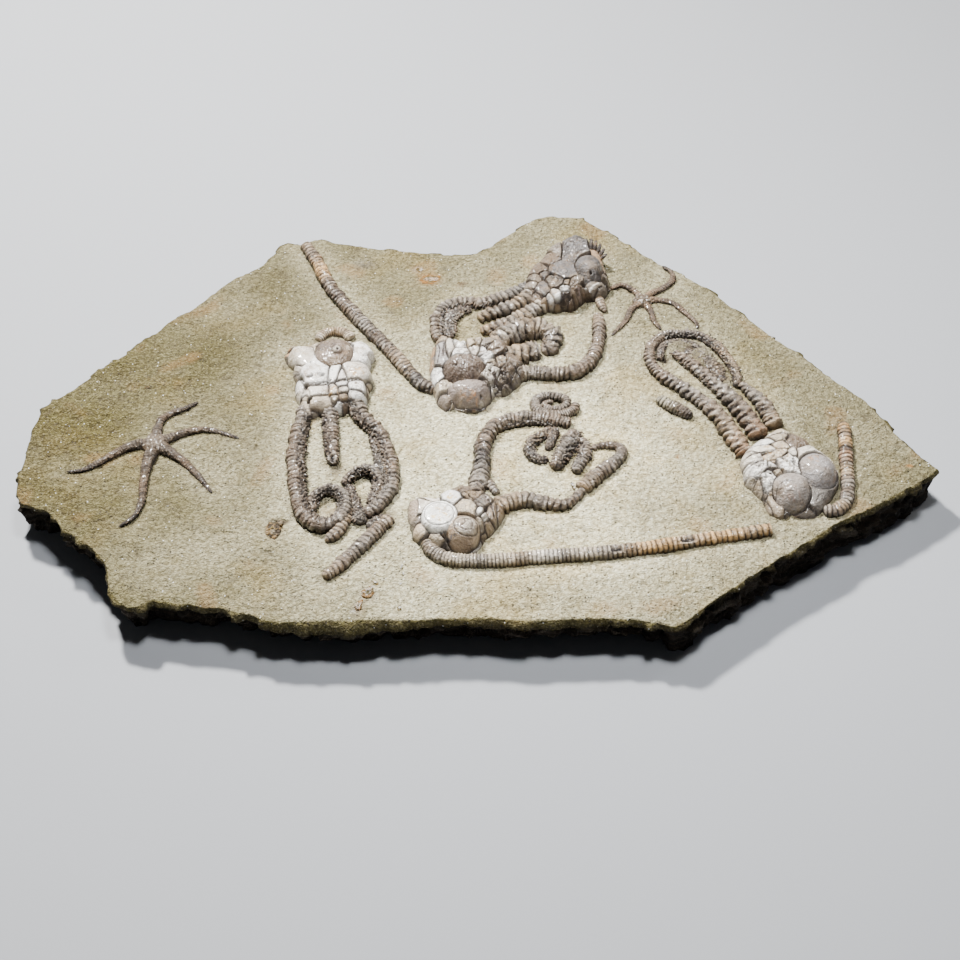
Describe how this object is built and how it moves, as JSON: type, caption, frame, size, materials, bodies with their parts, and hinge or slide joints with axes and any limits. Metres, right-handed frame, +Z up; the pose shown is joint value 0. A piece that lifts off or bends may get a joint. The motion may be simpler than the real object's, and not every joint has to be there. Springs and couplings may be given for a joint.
{
  "type": "crinoid fossil slab",
  "caption": "Slab of siltstone with crinoids, their stems and curling arms, and small brittle stars standing in relief on its face; it lies on its flat underside.",
  "frame": {"origin": "centre of the slab's footprint, on its flat underside", "axes": "+X to the right along the slab's length, +Y from its front edge to its back, +Z up, out of the face that carries the fossils"},
  "size_m": [0.4014, 0.279, 0.0328],
  "materials": {
    "siltstone": "rough, gritty",
    "left_cup_calcite": "semi-gloss",
    "left_stub_calcite": "semi-gloss",
    "left_arm_calcite": "semi-gloss",
    "centre_cup_calcite": "semi-gloss",
    "centre_arm_calcite": "semi-gloss",
    "top_cup_calcite": "semi-gloss",
    "top_stub_calcite": "satin",
    "top_arm_calcite": "semi-gloss",
    "front_cup_calcite": "semi-gloss",
    "front_stem_calcite": "semi-gloss",
    "front_arm_calcite": "semi-gloss",
    "right_cup_calcite": "semi-gloss",
    "right_stem_calcite": "satin",
    "right_arm_calcite": "semi-gloss",
    "star_calcite": "semi-gloss",
    "fragment_calcite": "semi-gloss"
  },
  "bodies": {
    "root": {"slab": "siltstone", "left_crinoid_cup": "left_cup_calcite", "left_crinoid_stem_stub": "left_stub_calcite", "left_crinoid_left_arm": "left_arm_calcite", "left_crinoid_middle_arm": "left_arm_calcite", "left_crinoid_right_arm": "left_arm_calcite", "left_crinoid_thin_branch": "left_arm_calcite", "left_crinoid_branch_tail": "left_arm_calcite", "left_crinoid_arm_fragment": "left_arm_calcite", "centre_crinoid_cup": "centre_cup_calcite", "centre_crinoid_stem": "centre_arm_calcite", "centre_crinoid_upper_arm": "centre_arm_calcite", "centre_crinoid_middle_arm": "centre_arm_calcite", "centre_crinoid_lower_arm": "centre_arm_calcite", "top_crinoid_cup": "top_cup_calcite", "top_crinoid_stem_stub": "top_stub_calcite", "top_crinoid_middle_arm": "top_arm_calcite", "top_crinoid_upper_arm": "top_arm_calcite", "top_crinoid_lower_arm": "top_arm_calcite", "front_crinoid_cup": "front_cup_calcite", "front_crinoid_stem": "front_stem_calcite", "front_crinoid_upper_arm": "front_arm_calcite", "front_crinoid_coil": "front_arm_calcite", "front_crinoid_left_branch": "front_arm_calcite", "front_crinoid_middle_branch": "front_arm_calcite", "front_crinoid_right_branch": "front_arm_calcite", "front_crinoid_lower_arm": "front_arm_calcite", "front_crinoid_side_stub": "front_arm_calcite", "right_crinoid_cup": "right_cup_calcite", "right_crinoid_stem": "right_stem_calcite", "right_crinoid_left_arm": "right_arm_calcite", "right_crinoid_middle_arm": "right_arm_calcite", "right_crinoid_right_arm": "right_arm_calcite", "left_brittle_star": "star_calcite", "right_brittle_star": "star_calcite", "loose_stem_fragment": "fragment_calcite", "ringed_fragment": "fragment_calcite"}
  },
  "joints": []
}
